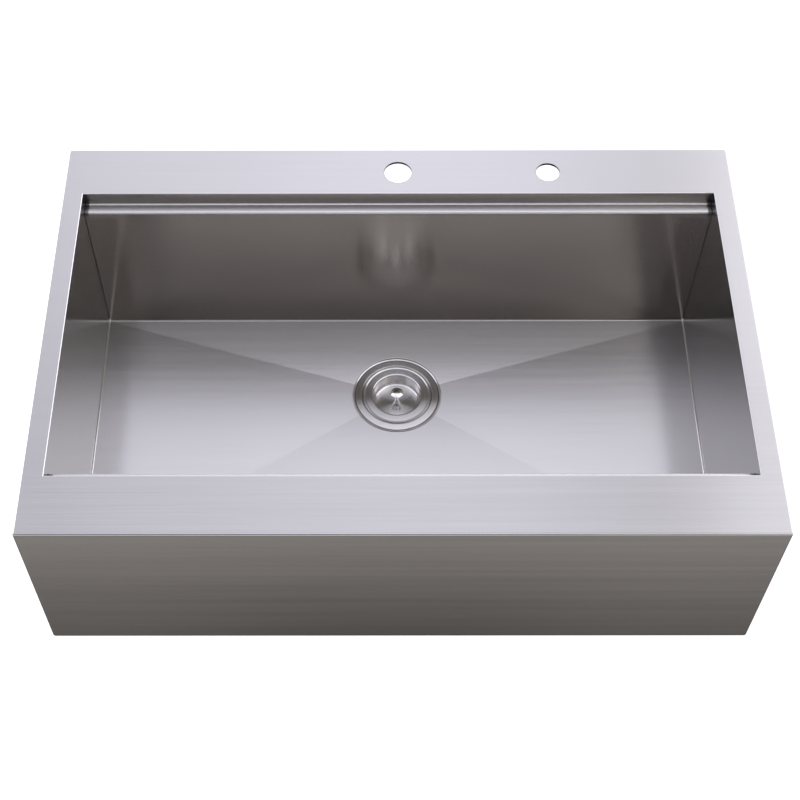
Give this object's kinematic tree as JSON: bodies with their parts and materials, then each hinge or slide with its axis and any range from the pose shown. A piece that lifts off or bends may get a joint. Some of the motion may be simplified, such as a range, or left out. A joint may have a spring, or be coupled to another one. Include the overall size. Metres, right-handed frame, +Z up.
{
  "type": "farmhouse apron front sink",
  "caption": "Brushed steel top-mount kitchen sink with a flat apron front, a ledged box bowl, a tap deck and a lidded basket strainer.",
  "frame": {"origin": "centre of the deck in plan, on the worktop plane that the rim's lip rests on", "axes": "+X to the right as seen from the apron, +Y to the back, +Z up"},
  "size_m": [0.838, 0.559, 0.3147],
  "materials": {
    "sheet_steel": "linear brushed stainless",
    "sound_pad": "matt butyl rubber",
    "rail_steel": "mill finish stainless",
    "zinc_plate": "bright zinc plate",
    "strainer_steel": "spun brushed stainless",
    "polished_steel": "polished",
    "seal_rubber": "smooth black rubber",
    "fibre": "pressed fibre",
    "cast_zinc": "cast zinc alloy"
  },
  "bodies": {
    "sink": {"deck": "sheet_steel", "hole_backing_plate": "sheet_steel", "bowl_trough": "sheet_steel", "left_end_wall": "sheet_steel", "right_end_wall": "sheet_steel", "floor_pad_left": "sound_pad", "floor_pad_right": "sound_pad", "back_wall_pad": "sound_pad", "front_wall_pad": "sound_pad", "left_wall_pad": "sound_pad", "right_wall_pad": "sound_pad", "apron_pad": "sound_pad", "clip_rail_left": "rail_steel", "clip_rail_right": "rail_steel", "clip_rail_rear_left": "rail_steel", "clip_rail_rear_right": "rail_steel", "strainer_body": "strainer_steel", "flange_seal": "seal_rubber", "lower_gasket": "seal_rubber", "friction_ring": "fibre", "locknut": "cast_zinc"},
    "basket": {"basket": "strainer_steel", "basket_post": "polished_steel", "basket_stopper": "seal_rubber", "basket_nut": "zinc_plate"},
    "lid": {"lid": "strainer_steel", "lid_seal": "seal_rubber", "lid_knob": "polished_steel", "lid_nut": "zinc_plate"},
    "clip_right_front": {"clip_right_front": "zinc_plate"},
    "screw_right_front": {"clip_screw_right_front": "zinc_plate"},
    "clip_right_rear": {"clip_right_rear": "zinc_plate"},
    "screw_right_rear": {"clip_screw_right_rear": "zinc_plate"},
    "clip_left_front": {"clip_left_front": "zinc_plate"},
    "screw_left_front": {"clip_screw_left_front": "zinc_plate"},
    "clip_left_rear": {"clip_left_rear": "zinc_plate"},
    "screw_left_rear": {"clip_screw_left_rear": "zinc_plate"},
    "clip_rear_left": {"clip_rear_left": "zinc_plate"},
    "screw_rear_left": {"clip_screw_rear_left": "zinc_plate"},
    "clip_rear_right": {"clip_rear_right": "zinc_plate"},
    "screw_rear_right": {"clip_screw_rear_right": "zinc_plate"}
  },
  "joints": [
    {"name": "basket_lift", "type": "slide", "parent": "sink", "child": "basket", "axis": [0, 0, 1], "range_m": [0, 0.33]},
    {"name": "lid_lift", "type": "slide", "parent": "basket", "child": "lid", "axis": [0, 0, 1], "range_m": [0, 0.29]},
    {"name": "clip_slide_right_front", "type": "slide", "parent": "sink", "child": "clip_right_front", "axis": [0, 1, 0], "range_m": [-0.083, 0.116]},
    {"name": "screw_drive_right_front", "type": "slide", "parent": "clip_right_front", "child": "screw_right_front", "axis": [0, 0, 1], "range_m": [-0.016, 0.014]},
    {"name": "clip_slide_right_rear", "type": "slide", "parent": "sink", "child": "clip_right_rear", "axis": [0, 1, 0], "range_m": [-0.116, 0.083]},
    {"name": "screw_drive_right_rear", "type": "slide", "parent": "clip_right_rear", "child": "screw_right_rear", "axis": [0, 0, 1], "range_m": [-0.016, 0.014]},
    {"name": "clip_slide_left_front", "type": "slide", "parent": "sink", "child": "clip_left_front", "axis": [0, 1, 0], "range_m": [-0.083, 0.116]},
    {"name": "screw_drive_left_front", "type": "slide", "parent": "clip_left_front", "child": "screw_left_front", "axis": [0, 0, 1], "range_m": [-0.016, 0.014]},
    {"name": "clip_slide_left_rear", "type": "slide", "parent": "sink", "child": "clip_left_rear", "axis": [0, 1, 0], "range_m": [-0.116, 0.083]},
    {"name": "screw_drive_left_rear", "type": "slide", "parent": "clip_left_rear", "child": "screw_left_rear", "axis": [0, 0, 1], "range_m": [-0.016, 0.014]},
    {"name": "clip_slide_rear_left", "type": "slide", "parent": "sink", "child": "clip_rear_left", "axis": [1, 0, 0], "range_m": [-0.14, 0.14]},
    {"name": "screw_drive_rear_left", "type": "slide", "parent": "clip_rear_left", "child": "screw_rear_left", "axis": [0, 0, 1], "range_m": [-0.016, 0.014]},
    {"name": "clip_slide_rear_right", "type": "slide", "parent": "sink", "child": "clip_rear_right", "axis": [1, 0, 0], "range_m": [-0.047, 0.047]},
    {"name": "screw_drive_rear_right", "type": "slide", "parent": "clip_rear_right", "child": "screw_rear_right", "axis": [0, 0, 1], "range_m": [-0.016, 0.014]}
  ]
}
